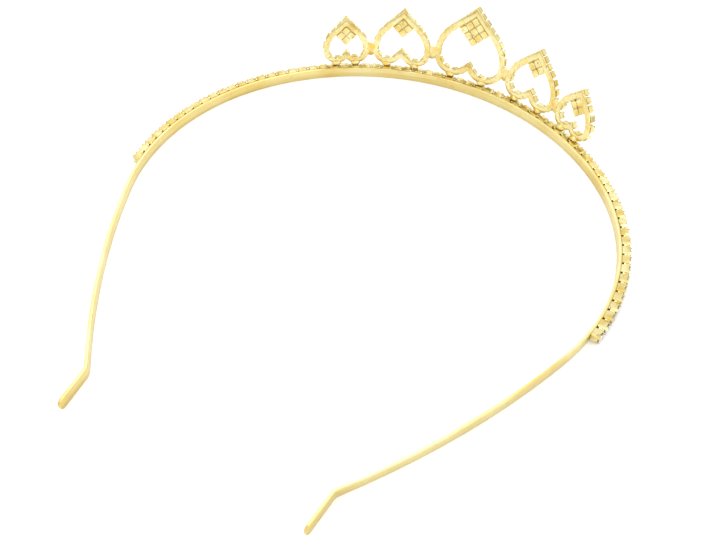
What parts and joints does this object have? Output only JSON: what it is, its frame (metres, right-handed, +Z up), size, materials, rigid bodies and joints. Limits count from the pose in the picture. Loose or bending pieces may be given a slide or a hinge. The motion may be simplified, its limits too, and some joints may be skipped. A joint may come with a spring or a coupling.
{
  "type": "heart tiara headband",
  "caption": "Gold-plated headband tiara with upside-down heart frames standing on a row of stone cups.",
  "frame": {"origin": "on the strip's lower edge, in the middle of its thickness, at the front centre", "axes": "+Z up, the front of the crown faces -Y, and the two legs of the band run towards +Y"},
  "size_m": [0.1234, 0.1408, 0.0235],
  "materials": {
    "gold_strip": "brushed",
    "gold_wire": "polished",
    "gold_cups": "polished",
    "gold_solder": "satin",
    "glass_stones": "polished"
  },
  "bodies": {
    "root": {"band_cups_centre": "gold_cups", "band_cups_left": "gold_cups", "band_cups_right": "gold_cups", "band_links_centre": "gold_cups", "band_links_left": "gold_cups", "band_links_right": "gold_cups", "band_stones_centre": "glass_stones", "band_stones_left": "glass_stones", "band_stones_right": "glass_stones", "centre_heart_cups": "gold_cups", "centre_heart_diamond_cups": "gold_cups", "centre_heart_diamond_solder": "gold_solder", "centre_heart_diamond_stones": "glass_stones", "centre_heart_frame": "gold_wire", "centre_heart_stones": "glass_stones", "chain_solder": "gold_solder", "headband_strip": "gold_strip", "heart_joint_solder": "gold_solder", "heart_seat_solder": "gold_solder", "left_middle_heart_cups": "gold_cups", "left_middle_heart_diamond_cups": "gold_cups", "left_middle_heart_diamond_solder": "gold_solder", "left_middle_heart_diamond_stones": "glass_stones", "left_middle_heart_frame": "gold_wire", "left_middle_heart_stones": "glass_stones", "left_outer_heart_cups": "gold_cups", "left_outer_heart_diamond_cups": "gold_cups", "left_outer_heart_diamond_solder": "gold_solder", "left_outer_heart_diamond_stones": "glass_stones", "left_outer_heart_frame": "gold_wire", "left_outer_heart_stones": "glass_stones", "right_middle_heart_cups": "gold_cups", "right_middle_heart_diamond_cups": "gold_cups", "right_middle_heart_diamond_solder": "gold_solder", "right_middle_heart_diamond_stones": "glass_stones", "right_middle_heart_frame": "gold_wire", "right_middle_heart_stones": "glass_stones", "right_outer_heart_cups": "gold_cups", "right_outer_heart_diamond_cups": "gold_cups", "right_outer_heart_diamond_solder": "gold_solder", "right_outer_heart_diamond_stones": "glass_stones", "right_outer_heart_frame": "gold_wire", "right_outer_heart_stones": "glass_stones"}
  },
  "joints": []
}
